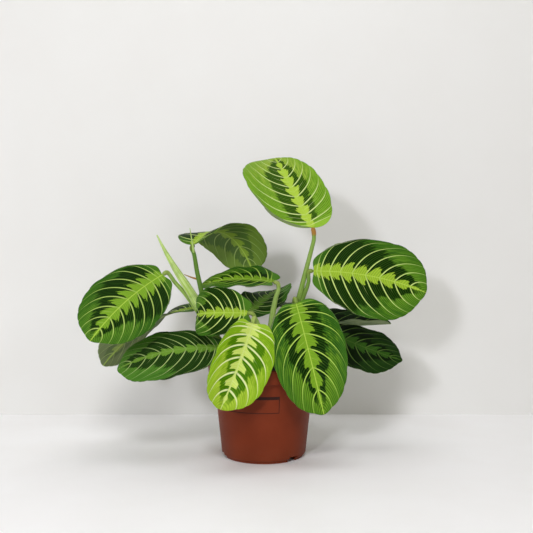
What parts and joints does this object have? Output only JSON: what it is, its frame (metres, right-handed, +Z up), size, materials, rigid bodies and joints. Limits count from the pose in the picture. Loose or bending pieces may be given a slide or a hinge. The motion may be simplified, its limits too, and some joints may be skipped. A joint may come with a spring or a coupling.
{
  "type": "potted prayer plant",
  "caption": "Potted prayer plant with large oval feather-patterned leaves on slender stems, standing in a round plastic nursery pot.",
  "frame": {"origin": "centre of the flat that the pot stands on", "axes": "+Z up, -Y toward the viewer of the picture, +X to the viewer's right"},
  "size_m": [0.3642, 0.2191, 0.3257],
  "materials": {
    "pot": "satin",
    "soil": "rough",
    "stem": "satin",
    "blade": "satin",
    "young_blade": "satin"
  },
  "bodies": {
    "root": {"pot": "pot", "soil": "soil", "shoot_left": "stem", "shoot_centre": "stem", "shoot_right": "stem", "shoot_front_left": "stem", "leaf_top": "blade", "leaf_right": "blade", "leaf_front_right": "blade", "leaf_front_young": "young_blade", "leaf_centre_small": "blade", "leaf_left": "blade", "leaf_low_left": "blade", "leaf_left_behind": "blade", "leaf_back_left": "blade", "leaf_centre_back": "blade", "leaf_centre_dark": "blade", "leaf_low_right": "blade", "leaf_right_folded": "blade", "leaf_back": "blade", "leaf_low_back": "blade"}
  },
  "joints": []
}
